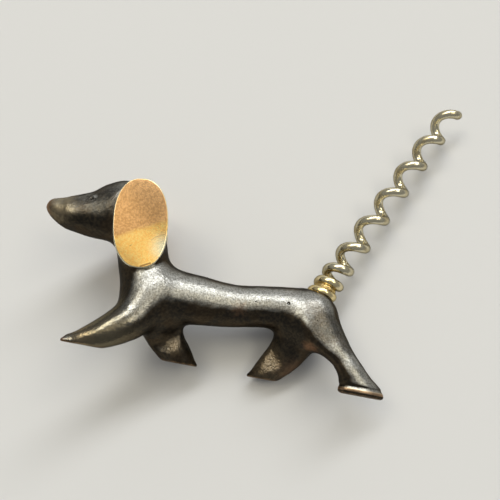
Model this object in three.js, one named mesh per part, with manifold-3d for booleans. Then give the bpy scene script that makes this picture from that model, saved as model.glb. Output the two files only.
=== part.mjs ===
// A figural corkscrew: a dachshund cast in one piece and patinated dark, with a polished copper-alloy
// plate on each ear and a steel wire worm for its tail, brazed round a brass stud in the rump.
// Millimetres, +Z up. The dog stands on its four flat soles at z = 0, nose toward -X, left side toward -Y.
import * as THREE from "three";
import { mergeVertices } from "three/addons/utils/BufferGeometryUtils.js";
import Module from "manifold-3d";

const wasm = await Module();
wasm.setup();

// The casting
const bodyLength = 104.8; // nose to the heel of the rear foot
const backHeight = 24.9; // top of the trunk
const headHeight = 36; // middle of the snout
const trunkThickness = 12.5;
const neckThickness = 15.2;
const headThickness = 16.4;
const legThickness = 8.6;
const footSpread = 14; // between the middles of the left and the right soles
const limbFillet = 3; // hollow where two limbs run together
const skinStep = 1.6; // grid that the cast skin is taken from
const eyeRadius = 0.8;
const eyeDepth = 0.5;
const eyeSteps = 12;

// The ears
const earWidth = 15;
const earHeight = 25.5;
const earPower = 2.3; // 2 is an ellipse, and more is squarer
const earLeanDegrees = 10.8; // the top leans toward the nose
const earSpan = 18; // over the two polished faces
const lobeThickness = 4; // cast part of an ear, under its plate
const plateThickness = 1.2;
const plateBevel = 0.25;
const earSteps = 56;

// The cross pin that carries both ear plates
const pinRadius = 1.2;
const pinSocketDepth = 0.8; // in the back of each plate
const pinSteps = 20;

// The tail's stud and the collar of braze round its foot
const tailDegrees = 63.4; // the tail's rise above the ground
const studRadius = 1.6;
const studDepth = 9; // below the flat seat on the rump
const studHeadRadius = 2.9;
const studHeadLength = 4.4;
const collarRadius = 4.9;
const collarTopRadius = 4.2;
const collarShoulder = 1.4; // height of its straight side
const collarHeight = 2.7;
const turnedSteps = 40;

// The worm
const wireRadius = 1.3;
const coilRadius = 2.55; // of the wire's middle
const wireStart = 2.2; // height of the wire's middle above the seat, where it starts
const startDegrees = 161; // round the tail from its lower side
const closedPitch = 3.7;
const openPitch = 11.5;
const closedTurns = 0.86;
const openingTurns = 3.4; // in which the wire opens from the one pitch to the other
const turns = 8.64;
const pointTurns = 0.2; // of the last turn, ground to a point
const pointRadius = 0.3;
const wireSides = 8;
const stepsPerTurn = 20;

// Fits
const clearance = 0.3;
const overrun = 1;

// Places, as shares of bodyLength from the nose, of half the foot spread to the left and of a height,
// with the girth there as a share of a thickness.
const trunkShares = [
  [0.337, 0, 0.733, 1.26],
  [0.456, 0, 0.735, 1.15],
  [0.559, 0, 0.754, 1],
  [0.655, 0, 0.821, 0.99],
  [0.774, 0, 0.839, 1.19],
];
const neckShares = [
  [0.329, 0, 0.495, 1.05],
  [0.298, 0, 0.692, 0.965],
  [0.275, 0, 0.874, 0.97],
  [0.232, 0, 1.082, 1.055],
];
const headShares = [
  [0.2125, 0, 1.126, 1],
  [0.16, 0, 1.027, 0.85],
  [0.113, 0, 0.998, 0.695],
  [0.063, 0, 0.982, 0.523],
  [0.027, 0, 0.998, 0.35],
];
const frontLeftShares = [
  [0.335, 0.21, 0.663, 1.665],
  [0.297, 0.63, 0.374, 1.325],
  [0.239, 0.91, 0.169, 0.985],
  [0.186, 1, 0.066, 0.58],
  [0.139, 1, 0.004, 0.245],
];
const frontRightShares = [
  [0.348, -0.21, 0.618, 1.665],
  [0.386, -0.66, 0.315, 1.3],
  [0.406, -0.8, 0.207, 1.145],
  [0.442, -0.94, 0.085, 0.92],
  [0.485, -1, -0.016, 0.395],
];
const hindLeftShares = [
  [0.778, 0.14, 0.8, 1.62],
  [0.822, 0.54, 0.593, 1.23],
  [0.864, 0.83, 0.412, 0.85],
  [0.894, 0.97, 0.25, 0.87],
  [0.931, 1, 0.068, 0.92],
];
const hindLeftSoleShares = [
  [0.89, 1, 0.038, 0.63],
  [0.967, 1, 0.03, 0.59],
];
const hindRightShares = [
  [0.766, -0.21, 0.729, 1.655],
  [0.737, -0.66, 0.367, 1.3],
  [0.708, -0.89, 0.188, 1.09],
  [0.679, -1, 0.056, 0.8],
  [0.647, -1, -0.01, 0.35],
];
const waistShare = 0.558; // along the body, where x is 0 before the whole is centred
const earShares = { x: 0.269, z: 0.98 }; // the middle of an ear, and below it the eye, by headHeight
const eyeShares = { x: 0.13, z: 1.137 };
const tailShares = { x: 0.786, z: 0.985 }; // the middle of the tail's seat, by backHeight

const materials = {
  patina: new THREE.MeshStandardMaterial({ color: 0x2e2a25, roughness: 0.42, metalness: 0.9 }),
  copper: new THREE.MeshStandardMaterial({ color: 0xd08a4a, roughness: 0.3, metalness: 1 }),
  brass: new THREE.MeshStandardMaterial({ color: 0xc9a94a, roughness: 0.35, metalness: 1 }),
  steel: new THREE.MeshStandardMaterial({ color: 0xb9b29c, roughness: 0.32, metalness: 1 }),
};

function meshOf(name, geometry, material) {
  const mesh = new THREE.Mesh(geometry, material);
  mesh.name = name;
  return mesh;
}

function solidOf(geometry) {
  const bare = geometry.clone();
  bare.deleteAttribute("normal");
  bare.deleteAttribute("uv");
  const merged = mergeVertices(bare);
  const vertProperties = new Float32Array(merged.attributes.position.array);
  const triVerts = new Uint32Array(merged.index.array);
  return new wasm.Manifold(new wasm.Mesh({ numProp: 3, vertProperties, triVerts }));
}

function geometryOf(solid) {
  const { numProp, numVert, vertProperties, triVerts } = solid.getMesh();
  const positions = new Float32Array(numVert * 3);
  for (let i = 0; i < numVert; i++) {
    positions.set(vertProperties.subarray(i * numProp, i * numProp + 3), i * 3);
  }
  const geometry = new THREE.BufferGeometry();
  geometry.setAttribute("position", new THREE.BufferAttribute(positions, 3));
  geometry.setIndex(new THREE.BufferAttribute(triVerts, 1));
  geometry.computeVertexNormals();
  return geometry;
}

function along(share) {
  return bodyLength * (share - waistShare);
}

// A limb is a chain of balls, with smooth stretches between the stations of its table.
function limb(shares, height, thickness) {
  const places = shares.map(([x, y, z]) => new THREE.Vector3(along(x), (-y * footSpread) / 2, z * height));
  const route = new THREE.CatmullRomCurve3(places);
  const girth = new THREE.SplineCurve(shares.map(([, , , r], i) => new THREE.Vector2(i, (r * thickness) / 2)));
  const count = 4 * (shares.length - 1);
  const balls = [];
  for (let i = 0; i <= count; i++) {
    balls.push({ center: route.getPoint(i / count), radius: girth.getPoint(i / count).y });
  }
  return balls;
}

const towardBase = new THREE.Vector3();
const reach = new THREE.Vector3();

function distanceToStretch(point, a, b) {
  reach.subVectors(b.center, a.center);
  towardBase.subVectors(point, a.center);
  const share = THREE.MathUtils.clamp(towardBase.dot(reach) / reach.lengthSq(), 0, 1);
  const off = towardBase.addScaledVector(reach, -share).length();
  return off - THREE.MathUtils.lerp(a.radius, b.radius, share);
}

function smoothMin(a, b, blend) {
  const near = Math.max(blend - Math.abs(a - b), 0) / blend;
  return Math.min(a, b) - (near * near * blend) / 4;
}

function distanceToLimb(point, balls) {
  let least = Infinity;
  for (let i = 1; i < balls.length; i++) {
    least = Math.min(least, distanceToStretch(point, balls[i - 1], balls[i]));
  }
  return least;
}

const limbs = [
  limb(trunkShares, backHeight, trunkThickness),
  limb(neckShares, headHeight, neckThickness),
  limb(headShares, headHeight, headThickness),
  limb(frontLeftShares, backHeight, legThickness),
  limb(frontRightShares, backHeight, legThickness),
  limb(hindLeftShares, backHeight, legThickness),
  limb(hindLeftSoleShares, backHeight, legThickness),
  limb(hindRightShares, backHeight, legThickness),
];

function distanceToSkin(point) {
  let distance = Infinity;
  for (const balls of limbs) {
    distance = smoothMin(distance, distanceToLimb(point, balls), limbFillet);
  }
  return distance;
}

// The zero surface of a distance inside a box: one point in each cell that it crosses, and one four-sided face
// round each grid edge that it crosses.
function skinOf(distance, box, step) {
  const counts = box.getSize(new THREE.Vector3()).divideScalar(step).ceil().addScalar(1);
  const strides = [1, counts.x, counts.x * counts.y];
  const placeOf = (i, j, k) => new THREE.Vector3(i, j, k).multiplyScalar(step).add(box.min);
  const values = [];
  for (let k = 0; k < counts.z; k++) {
    for (let j = 0; j < counts.y; j++) {
      for (let i = 0; i < counts.x; i++) values.push(distance(placeOf(i, j, k)));
    }
  }

  const corners = [0, 1, 2, 3, 4, 5, 6, 7].map((n) => [n & 1, (n >> 1) & 1, n >> 2]);
  const offsets = corners.map(([a, b, c]) => a * strides[0] + b * strides[1] + c * strides[2]);
  const edges = [];
  for (let a = 0; a < 8; a++) {
    for (const bit of [1, 2, 4]) {
      if (!(a & bit)) edges.push([a, a | bit]);
    }
  }

  const positions = [];
  const pointOfCell = new Map();
  for (let k = 0; k < counts.z - 1; k++) {
    for (let j = 0; j < counts.y - 1; j++) {
      for (let i = 0; i < counts.x - 1; i++) {
        const cell = i * strides[0] + j * strides[1] + k * strides[2];
        const crossings = [];
        for (const [a, b] of edges) {
          const from = values[cell + offsets[a]];
          const to = values[cell + offsets[b]];
          if (from < 0 === to < 0) continue;
          const start = new THREE.Vector3(...corners[a]);
          crossings.push(start.lerp(new THREE.Vector3(...corners[b]), from / (from - to)));
        }
        if (!crossings.length) continue;
        const middle = crossings.reduce((sum, p) => sum.add(p), new THREE.Vector3());
        const point = middle.divideScalar(crossings.length).add(new THREE.Vector3(i, j, k));
        pointOfCell.set(cell, positions.length / 3);
        positions.push(...settle(point.multiplyScalar(step).add(box.min), distance, step));
      }
    }
  }

  const faces = [];
  for (let k = 1; k < counts.z - 1; k++) {
    for (let j = 1; j < counts.y - 1; j++) {
      for (let i = 1; i < counts.x - 1; i++) {
        const cell = i * strides[0] + j * strides[1] + k * strides[2];
        for (let axis = 0; axis < 3; axis++) {
          const inside = values[cell] < 0;
          if (inside === values[cell + strides[axis]] < 0) continue;
          const u = strides[(axis + 1) % 3];
          const v = strides[(axis + 2) % 3];
          const ring = [cell - u - v, cell - v, cell, cell - u].map((c) => pointOfCell.get(c));
          const [a, b, c, d] = inside ? ring : ring.reverse();
          faces.push(a, b, c, a, c, d);
        }
      }
    }
  }
  const geometry = new THREE.BufferGeometry();
  geometry.setAttribute("position", new THREE.Float32BufferAttribute(positions, 3));
  geometry.setIndex(faces);
  return geometry;
}

// Moves a point onto the zero surface along the distance's steepest way.
function settle(point, distance, step) {
  const probe = step / 10;
  for (let pass = 0; pass < 2; pass++) {
    const here = distance(point);
    const slope = new THREE.Vector3(
      distance(point.clone().add(new THREE.Vector3(probe, 0, 0))) - here,
      distance(point.clone().add(new THREE.Vector3(0, probe, 0))) - here,
      distance(point.clone().add(new THREE.Vector3(0, 0, probe))) - here,
    ).divideScalar(probe);
    point.addScaledVector(slope, -here / slope.lengthSq());
  }
  return point.toArray();
}

// The ears' common outline, in x and z round the middle of an ear.
const earFaceY = earSpan / 2;
const lobeFaceY = earFaceY - plateThickness;
const earPlace = new THREE.Vector3(along(earShares.x), 0, earShares.z * headHeight);

function earOutline(margin) {
  const lean = THREE.MathUtils.degToRad(earLeanDegrees);
  const points = [];
  for (let i = 0; i < earSteps; i++) {
    const angle = (2 * Math.PI * i) / earSteps;
    const across = Math.sign(Math.cos(angle)) * Math.abs(Math.cos(angle)) ** (2 / earPower);
    const up = Math.sign(Math.sin(angle)) * Math.abs(Math.sin(angle)) ** (2 / earPower);
    const point = new THREE.Vector2(across * (earWidth / 2 + margin), up * (earHeight / 2 + margin));
    points.push(point.rotateAround(new THREE.Vector2(), lean));
  }
  return new THREE.Shape(points);
}

// A slab with the ear's outline, from one distance to another on the left (-1) or the right (1) of the dog.
function earSlab(side, inner, outer, margin, bevel) {
  const geometry = new THREE.ExtrudeGeometry(earOutline(margin), {
    depth: outer - inner - 2 * bevel,
    bevelEnabled: bevel > 0,
    bevelThickness: bevel,
    bevelSize: bevel,
    bevelOffset: -bevel,
    bevelSegments: 1,
  });
  geometry.translate(0, 0, bevel + (side < 0 ? inner : -outer));
  geometry.rotateX(Math.PI / 2);
  return geometry.translate(earPlace.x, 0, earPlace.z);
}

// The tail's own frame has its origin in the middle of its seat on the rump and its +Z along the tail.
const tailFrame = new THREE.Matrix4()
  .makeRotationY(THREE.MathUtils.degToRad(90 - tailDegrees))
  .setPosition(along(tailShares.x), 0, tailShares.z * backHeight);

// A bar turned on +Z, from one height to another.
function bar(radius, from, to, steps) {
  const geometry = new THREE.CylinderGeometry(radius, radius, to - from, steps);
  return geometry.rotateX(Math.PI / 2).translate(0, 0, (from + to) / 2);
}

function turned(points) {
  const profile = points.map(([radius, height]) => new THREE.Vector2(radius, height));
  return new THREE.LatheGeometry(profile, turnedSteps).rotateX(Math.PI / 2);
}

// The wire's route: closed turns round the stud, then turns that open to their full pitch.
const wireSteps = Math.round(turns * stepsPerTurn);

function openingAt(step) {
  const turn = (step / wireSteps) * turns;
  return THREE.MathUtils.smoothstep(turn, closedTurns, closedTurns + openingTurns);
}

const climbs = [wireStart];
for (let i = 1; i <= wireSteps; i++) {
  const pitch = THREE.MathUtils.lerp(closedPitch, openPitch, openingAt(i - 0.5));
  climbs.push(climbs[i - 1] + (pitch * turns) / wireSteps);
}

function wirePoint(i) {
  const turn = (i / wireSteps) * turns;
  const angle = 2 * Math.PI * turn + THREE.MathUtils.degToRad(startDegrees);
  return new THREE.Vector3(coilRadius * Math.cos(angle), coilRadius * Math.sin(angle), climbs[i]);
}

// A tube round the wire's route, with flat ends. The margin makes the same tube fatter, and longer at its start.
function wire(margin) {
  const positions = [];
  const faces = [];
  for (let i = 0; i <= wireSteps; i++) {
    const point = wirePoint(i);
    const ahead = wirePoint(Math.min(i + 1, wireSteps)).sub(wirePoint(Math.max(i - 1, 0))).normalize();
    if (i === 0) point.addScaledVector(ahead, -margin);
    const outward = new THREE.Vector3(point.x, point.y, 0).normalize();
    const side = new THREE.Vector3().crossVectors(ahead, outward).normalize();
    outward.crossVectors(side, ahead);
    const left = ((wireSteps - i) / wireSteps) * turns;
    const girth = THREE.MathUtils.mapLinear(Math.min(left, pointTurns), 0, pointTurns, pointRadius, wireRadius);
    for (let n = 0; n < wireSides; n++) {
      const angle = (2 * Math.PI * n) / wireSides;
      const spoke = outward.clone().multiplyScalar(Math.cos(angle)).addScaledVector(side, Math.sin(angle));
      positions.push(...spoke.multiplyScalar(girth + margin).add(point));
      if (i === wireSteps) continue;
      const next = (n + 1) % wireSides;
      const row = i * wireSides;
      faces.push(row + n, row + next, row + wireSides + n);
      faces.push(row + next, row + wireSides + next, row + wireSides + n);
    }
  }
  for (let n = 2; n < wireSides; n++) {
    const end = wireSteps * wireSides;
    faces.push(0, n, n - 1);
    faces.push(end, end + n - 1, end + n);
  }
  const geometry = new THREE.BufferGeometry();
  geometry.setAttribute("position", new THREE.Float32BufferAttribute(positions, 3));
  geometry.setIndex(faces);
  geometry.computeVertexNormals();
  return geometry;
}

// The least gap from one turn of the wire to the next, measured on points of its route.
function leastGap() {
  let least = Infinity;
  for (let i = 0; i <= wireSteps; i++) {
    for (let j = i + Math.round(stepsPerTurn / 2); j <= wireSteps; j++) {
      least = Math.min(least, wirePoint(i).distanceTo(wirePoint(j)) - 2 * wireRadius);
    }
  }
  return least;
}

// How far the skin reaches from the dog's middle at a place.
function reachOf(x, z) {
  let inside = 0;
  let outside = headThickness;
  while (outside - inside > skinStep / 100) {
    const middle = (inside + outside) / 2;
    if (distanceToSkin(new THREE.Vector3(x, middle, z)) < 0) inside = middle;
    else outside = middle;
  }
  return inside;
}

function castingGeometry() {
  const room = new THREE.Box3();
  for (const { center, radius } of limbs.flat()) {
    room.union(new THREE.Sphere(center, radius + limbFillet).getBoundingBox(new THREE.Box3()));
  }
  let casting = solidOf(skinOf(distanceToSkin, room, skinStep));

  const size = room.getSize(new THREE.Vector3());
  const middle = room.getCenter(new THREE.Vector3());
  const ground = new THREE.BoxGeometry(size.x, size.y, size.z).translate(middle.x, middle.y, -size.z / 2);
  casting = casting.subtract(solidOf(ground));

  for (const side of [-1, 1]) {
    casting = casting.add(solidOf(earSlab(side, lobeFaceY - lobeThickness, lobeFaceY, 0, 0)));
    casting = casting.subtract(solidOf(earSlab(side, lobeFaceY, lobeFaceY + headThickness, clearance, 0)));
    const eyeX = along(eyeShares.x);
    const eyeZ = eyeShares.z * headHeight;
    const eye = new THREE.SphereGeometry(eyeRadius, eyeSteps, eyeSteps / 2);
    eye.translate(eyeX, side * (reachOf(eyeX, eyeZ) + eyeRadius - eyeDepth), eyeZ);
    casting = casting.subtract(solidOf(eye));
  }
  const pinHole = bar(pinRadius + clearance, -lobeFaceY - overrun, lobeFaceY + overrun, pinSteps);
  casting = casting.subtract(solidOf(pinHole.rotateX(Math.PI / 2).translate(...earPlace)));

  const flat = bar(collarRadius + clearance, 0, trunkThickness, turnedSteps);
  const bore = bar(studRadius + clearance, -studDepth - clearance, overrun, turnedSteps);
  casting = casting.subtract(solidOf(flat.applyMatrix4(tailFrame)));
  return geometryOf(casting.subtract(solidOf(bore.applyMatrix4(tailFrame))));
}

function earPlateGeometry(side) {
  const plate = solidOf(earSlab(side, lobeFaceY, earFaceY, 0, plateBevel));
  const ends = [side * (lobeFaceY - overrun), side * (lobeFaceY + pinSocketDepth)];
  const socket = bar(pinRadius + clearance, Math.min(...ends), Math.max(...ends), pinSteps);
  return geometryOf(plate.subtract(solidOf(socket.rotateX(-Math.PI / 2).translate(...earPlace))));
}

function pinGeometry() {
  const end = lobeFaceY + pinSocketDepth - clearance;
  return bar(pinRadius, -end, end, pinSteps).rotateX(Math.PI / 2).translate(...earPlace);
}

function studGeometry() {
  const headFoot = collarHeight + clearance;
  const headTop = headFoot + studHeadLength;
  const stud = turned([
    [0, -studDepth],
    [studRadius, -studDepth],
    [studRadius, headFoot],
    [studHeadRadius, headFoot],
    [studHeadRadius, headTop - studHeadRadius / 2],
    [studHeadRadius / 2, headTop],
    [0, headTop],
  ]);
  return geometryOf(solidOf(stud).subtract(solidOf(wire(clearance))));
}

function collarGeometry() {
  const hole = studRadius + clearance;
  const collar = turned([
    [hole, clearance],
    [collarRadius, clearance],
    [collarRadius, collarShoulder],
    [collarTopRadius, collarHeight],
    [hole, collarHeight],
    [hole, clearance],
  ]);
  return geometryOf(solidOf(collar).subtract(solidOf(wire(clearance))));
}

console.log("least gap between the worm's turns", leastGap().toFixed(2), "mm");

const tail = new THREE.Group();
tail.applyMatrix4(tailFrame);
tail.add(
  meshOf("tail_stud", studGeometry(), materials.brass),
  meshOf("braze_collar", collarGeometry(), materials.brass),
  meshOf("worm", wire(0), materials.steel),
);

const corkscrew = new THREE.Group();
corkscrew.add(
  meshOf("body_casting", castingGeometry(), materials.patina),
  meshOf("ear_plate_left", earPlateGeometry(-1), materials.copper),
  meshOf("ear_plate_right", earPlateGeometry(1), materials.copper),
  meshOf("ear_cross_pin", pinGeometry(), materials.brass),
  tail,
);

// The origin is on the ground, halfway from the nose to the tip of the tail.
const extent = new THREE.Box3().setFromObject(corkscrew, true);
corkscrew.position.x = -(extent.min.x + extent.max.x) / 2;

export default corkscrew;
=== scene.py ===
from math import cos, exp, pi, radians, sin

import bmesh
import bpy
from mathutils import Matrix, Vector

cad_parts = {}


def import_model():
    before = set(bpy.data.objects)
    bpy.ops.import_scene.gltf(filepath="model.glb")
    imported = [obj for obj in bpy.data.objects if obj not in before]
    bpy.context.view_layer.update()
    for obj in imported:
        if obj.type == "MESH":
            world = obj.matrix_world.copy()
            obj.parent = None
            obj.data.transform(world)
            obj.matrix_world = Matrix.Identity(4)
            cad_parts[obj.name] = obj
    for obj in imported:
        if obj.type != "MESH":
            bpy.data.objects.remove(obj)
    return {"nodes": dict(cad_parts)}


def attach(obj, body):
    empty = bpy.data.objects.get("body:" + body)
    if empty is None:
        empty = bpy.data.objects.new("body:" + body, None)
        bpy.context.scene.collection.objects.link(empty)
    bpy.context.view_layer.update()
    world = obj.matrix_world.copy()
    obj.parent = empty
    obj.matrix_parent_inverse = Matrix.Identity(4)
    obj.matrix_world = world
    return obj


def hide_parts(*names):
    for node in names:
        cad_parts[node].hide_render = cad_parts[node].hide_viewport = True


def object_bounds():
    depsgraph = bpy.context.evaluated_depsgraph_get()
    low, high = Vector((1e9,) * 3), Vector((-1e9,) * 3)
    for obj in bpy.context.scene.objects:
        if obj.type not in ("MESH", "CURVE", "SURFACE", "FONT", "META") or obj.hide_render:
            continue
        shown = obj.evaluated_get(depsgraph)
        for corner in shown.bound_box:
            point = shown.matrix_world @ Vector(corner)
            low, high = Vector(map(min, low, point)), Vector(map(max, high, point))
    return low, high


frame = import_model()
cad_box = [list(corner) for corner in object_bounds()]
nodes = frame["nodes"]

MM = 0.001
PER_M = 1 / MM
MERGE = 1e-6
FULL_TURN = 360

# The camera, from the picture: its place, where it looks and how far it is rolled
CAMERA_PLACE = Vector((-18.55, -162.49, -2.13)) * MM
CAMERA_AZIMUTH = 6.38
CAMERA_ELEVATION = 13.15
CAMERA_ROLL = 10.45
CAMERA_LENS = 40.75
CAMERA_SENSOR = 36
CAMERA_NEAR = 10 * MM

# The surface that the dog lies on, on its right side, and the one that it stands on
LYING_NORMAL = Vector((-0.178, -0.982, 0.059)).normalized()
UPWARDS = Vector((0, 0, 1))
STAGE_RADIUS = 1.2
STAGE_SIDES = 128
STAGE_COLOUR = (0.65, 0.645, 0.63, 1)
STAGE_ROUGHNESS = 0.9

# The lamps, all at one distance from one point: name, degrees to the right of the viewer's side,
# degrees above the ground, width and height in shares of the distance, radiance, colour and roll
AIM = Vector((0, 0, 26)) * MM
LAMP_DISTANCE = 10
COOL_LIGHT = (0.96, 0.98, 1)
WARM_LIGHT = (1, 0.94, 0.78)
AMBER_LIGHT = (1, 0.9, 0.68)
SKY_LIGHT = (0.97, 0.98, 1)
LAMPS = [
    ("strip", -4, 44, (1.12, 0.22), 9.2, COOL_LIGHT, 30),
    ("strip_foot", -37, 13, (0.38, 0.4), 4.9, WARM_LIGHT, 25),
    ("warm_window", -3, 8, (0.8, 0.27), 0.72, AMBER_LIGHT, 0),
    ("side_window", 21, 17, (0.24, 0.6), 4, WARM_LIGHT, 0),
    ("ceiling", 0, 90, (1, 1), 0.48, SKY_LIGHT, 0),
]
WORLD_COLOUR = (0.95, 0.97, 1.0, 1)
WORLD_LEVEL = 0.27

# The tail: the middle of its seat on the rump, its rise above the ground, and the bore under it
TAIL_SEAT = Vector((21.66, 0, 24.53)) * MM
TAIL_DEGREES = 63.4
TAIL = Matrix.Translation(TAIL_SEAT) @ Matrix.Rotation(radians(90 - TAIL_DEGREES), 4, "Y")
TAIL_AXIS = TAIL.to_3x3() @ UPWARDS
SEAT_RADIUS = 5.2 * MM
SEAT_CROWN = 1.1 * MM
BORE_RADIUS = 2 * MM
BORE_DEPTH = 15 * MM
NEAR = 0.03 * MM

# The casting's even mesh, its smoothing and its waves
CAST_LEVELS = 1
SHARP_DEGREES = 38
RIM_CREASE = 0.8
JOIN_DEGREES = 20
JOIN_SKEW_DEGREES = 50
EVEN_MESH = 0.42 * MM
SMOOTH_SHARE = 0.5
SKIN_SMOOTHING = 10
WAVES = 0.14 * MM
WAVE_SIZE = 5 * MM
CLOUD_DEPTH = 2
CUT_SMOOTHING = 0.3
SOLE_CLEAR = 1.0 * MM

# The nose, the toe of the near front foot, and the hoof of the near hind one
NOSE_FROM = -54 * MM
NOSE_SMOOTHING = 26
TOE_FROM = -43 * MM
TOE_LENGTH = 3 * MM
TOE_SKIN = 0.1 * MM
TOE_RISE = 0.8 * MM
HOOF_FROM = 26 * MM
HOOF_HEIGHT = 1.3 * MM
HOOF_SOLE_SHARE = (0.9, 0.72)
RIM_FLARE = 1.03
GROOVE_HEIGHT = 2.3 * MM
GROOVE_WIDTH = 0.5 * MM
GROOVE_DEPTH = 0.3 * MM
GROOVE_REACH = 2 * GROOVE_WIDTH

# Where the casting is fuller or slimmer than its plain round limbs: middle, reach and push
SWELLINGS = [
    ((18.0, -7.0, 15.5), 3.6, (-0.2, -1.3, -0.2)),
    ((21.5, -5.6, 12.3), 3.4, (0.0, -2.4, -0.3)),
    ((26.0, -6.8, 9.6), 3.2, (-0.2, -1.9, -0.2)),
    ((30.5, -8.8, 6.2), 2.8, (-0.3, -0.9, 0.0)),
    ((-52.0, -4.6, 32.8), 3.2, (0.0, -0.7, -0.1)),
    ((-46.0, -4.8, 31.0), 4.0, (0.0, -0.6, 0.0)),
    ((-37.0, -9.5, 2.6), 2.4, (0.0, -0.5, 0.2)),
]

# Flat places on the far legs: a point of the flat, its facing, and the reach round that point
FLATS = [
    ((9.0, 3.7, 4.0), (-0.30, -0.95, 0.05), 7.0),
    ((-16.6, 1.9, 3.8), (-0.22, -0.96, 0.14), 6.0),
]

# Dimples in the skin, the two eyes and one in the trunk: middle, radius and depth
LEFT_EYE = (-47.3, -5.4, 39.8)
RIGHT_EYE = (-47.3, 5.4, 39.8)
DIMPLES = [
    (LEFT_EYE, 0.62, 0.42),
    (RIGHT_EYE, 0.62, 0.42),
    ((12.45, -6.5, 21.7), 0.45, 0.3),
]
DIMPLE_LIP = 0.03 * MM
DIMPLE_CUTS = 3
DIMPLE_POWER = 0.6

# Shares of a dimple's radius: its patch of finer skin, its reach, and its lip's place and width
FINE_SHARE = 3
REACH_SHARE = 2.5
LIP_SHARE = 1.25
LIP_WIDTH_SHARE = 0.3

# The left eye's plain cut in the solid, and its raised lid
EYE_CUT = Vector((-47.05, -5.1, 40.93)) * MM
EYE_CUT_RADIUS = 0.95 * MM
EYE_FACING = Vector((-0.4, -0.81, 0.42))
LID_RADIUS = 0.85 * MM
LID_THICKNESS = 0.34 * MM
LID_RISE = 0.22 * MM
LID_DEGREES = 100
LID_TURN = -5
LID_STEPS = 12
LID_SIDES = 10
LID_LEVELS = 1

# The ear plates' rounded edges
FLAT_DEGREES = 1
EAR_ROUNDING = 0.1 * MM
EAR_ROUNDING_STEPS = 3
EAR_CORNER_DEGREES = 30

# The worm's copy is smoothed, which thins its eight-sided wire by 0.125 mm, and is thickened again
WIRE_LEVELS = 2
WIRE_THICKENED = 0.19 * MM

# The worm is widest at its foot, and narrows to its own radius between these heights along the tail
WIDE_START = 0.5 * MM
WIDE_FROM = 9 * MM
WIDE_TO = 70 * MM

# What the worm keeps clear of the front and the top of the solids' box
WORM_CLEAR = Vector((0.25, 0, 0.12)) * MM

# The braze: radius and height of its outline, along the tail
BRAZE_OUTLINE = [
    (1.0, 0.1),
    (4.7, 0.1),
    (4.75, 0.8),
    (4.45, 1.5),
    (3.9, 2.1),
    (3.45, 2.8),
    (3.3, 3.8),
    (3.35, 5.2),
    (3.05, 6.2),
    (2.3, 6.9),
    (1.0, 7.1),
]
BRAZE_STEPS = 48
BRAZE_LEVELS = 2
BRAZE_LUMPS = 0.35 * MM
BRAZE_LUMP_SIZE = 0.9 * MM


# Making pieces


def merged_copy(node):
    """A bmesh of a CAD node's own shape, with its loose triangles joined."""
    shape = bmesh.new()
    shape.from_mesh(nodes[node].data)
    bmesh.ops.remove_doubles(shape, verts=shape.verts, dist=MERGE)
    return shape


def piece(name, shape, material, replaced=()):
    """An object of the model, made from a bmesh, that stands for the replaced CAD nodes."""
    mesh = bpy.data.meshes.new(name)
    shape.to_mesh(mesh)
    shape.free()
    mesh.shade_smooth()
    mesh.materials.append(material)
    made = bpy.data.objects.new(name, mesh)
    bpy.context.scene.collection.objects.link(made)
    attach(made, "root")
    if replaced:
        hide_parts(*replaced)
    return made


def subdivide(made, levels):
    modifier = made.modifiers.new("smooth", "SUBSURF")
    modifier.levels = levels
    modifier.render_levels = levels


def displace(made, name, size, strength, group=""):
    """Pushes the skin in and out by clouds of a given size."""
    texture = bpy.data.textures.new(name, "CLOUDS")
    texture.noise_scale = size
    texture.noise_depth = CLOUD_DEPTH
    modifier = made.modifiers.new(name, "DISPLACE")
    modifier.texture = texture
    modifier.texture_coords = "LOCAL"
    modifier.strength = strength
    modifier.mid_level = 0.5
    modifier.vertex_group = group


def with_outlines(faces):
    """The given faces with their edges and corners, as bisect_plane takes them."""
    edges = dict.fromkeys(edge for face in faces for edge in face.edges)
    verts = dict.fromkeys(vert for face in faces for vert in face.verts)
    return faces + list(edges) + list(verts)


def open_edges(shape):
    return [edge for edge in shape.edges if edge.is_boundary]


# Node helpers


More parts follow.
